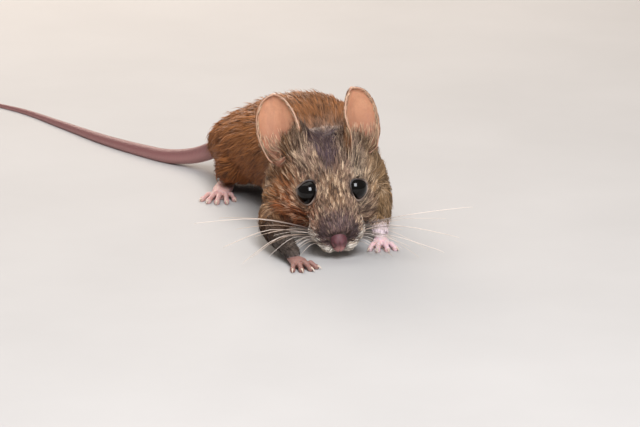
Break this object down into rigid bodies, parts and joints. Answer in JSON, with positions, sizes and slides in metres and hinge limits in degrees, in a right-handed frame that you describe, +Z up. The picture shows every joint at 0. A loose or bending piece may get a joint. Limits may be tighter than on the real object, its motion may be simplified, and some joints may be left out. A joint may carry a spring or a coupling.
{
  "type": "live wood mouse",
  "caption": "Brown long-tailed field mouse with big rounded ears and black eyes, crouched nose-down with one forepaw reaching ahead; a life-size still model.",
  "frame": {"origin": "on the floor, under the middle of the whole mouse's box", "axes": "+X to the mouse's left, +Y from nose to tail, +Z up"},
  "size_m": [0.1006, 0.1378, 0.0309],
  "materials": {
    "coat": "short dense brown fur",
    "pale_coat": "short off-white fur",
    "bare_skin": "thin pink skin",
    "ear_skin": "thin, finely haired tan skin",
    "tail_skin": "ringed dusky skin with sparse hairs",
    "eye": "wet glossy black"
  },
  "bodies": {
    "root": {"chest": "coat", "ear_left": "ear_skin", "ear_right": "ear_skin", "eye_left": "eye", "eye_right": "eye", "forearm_left": "coat", "forearm_right": "coat", "forepaw_left": "bare_skin", "forepaw_right": "bare_skin", "head": "coat", "hindfoot_left": "bare_skin", "hindfoot_right": "bare_skin", "jaw": "pale_coat", "loins": "coat", "neck": "coat", "nose": "bare_skin", "rump": "coat", "shank_left": "coat", "shank_right": "coat", "tail_lower": "tail_skin", "tail_root": "tail_skin", "tail_tip": "tail_skin", "tail_upper": "tail_skin", "thigh_left": "coat", "thigh_right": "coat", "upper_arm_left": "coat", "upper_arm_right": "coat", "whisker_pad_left": "coat", "whisker_pad_right": "coat"}
  },
  "joints": []
}
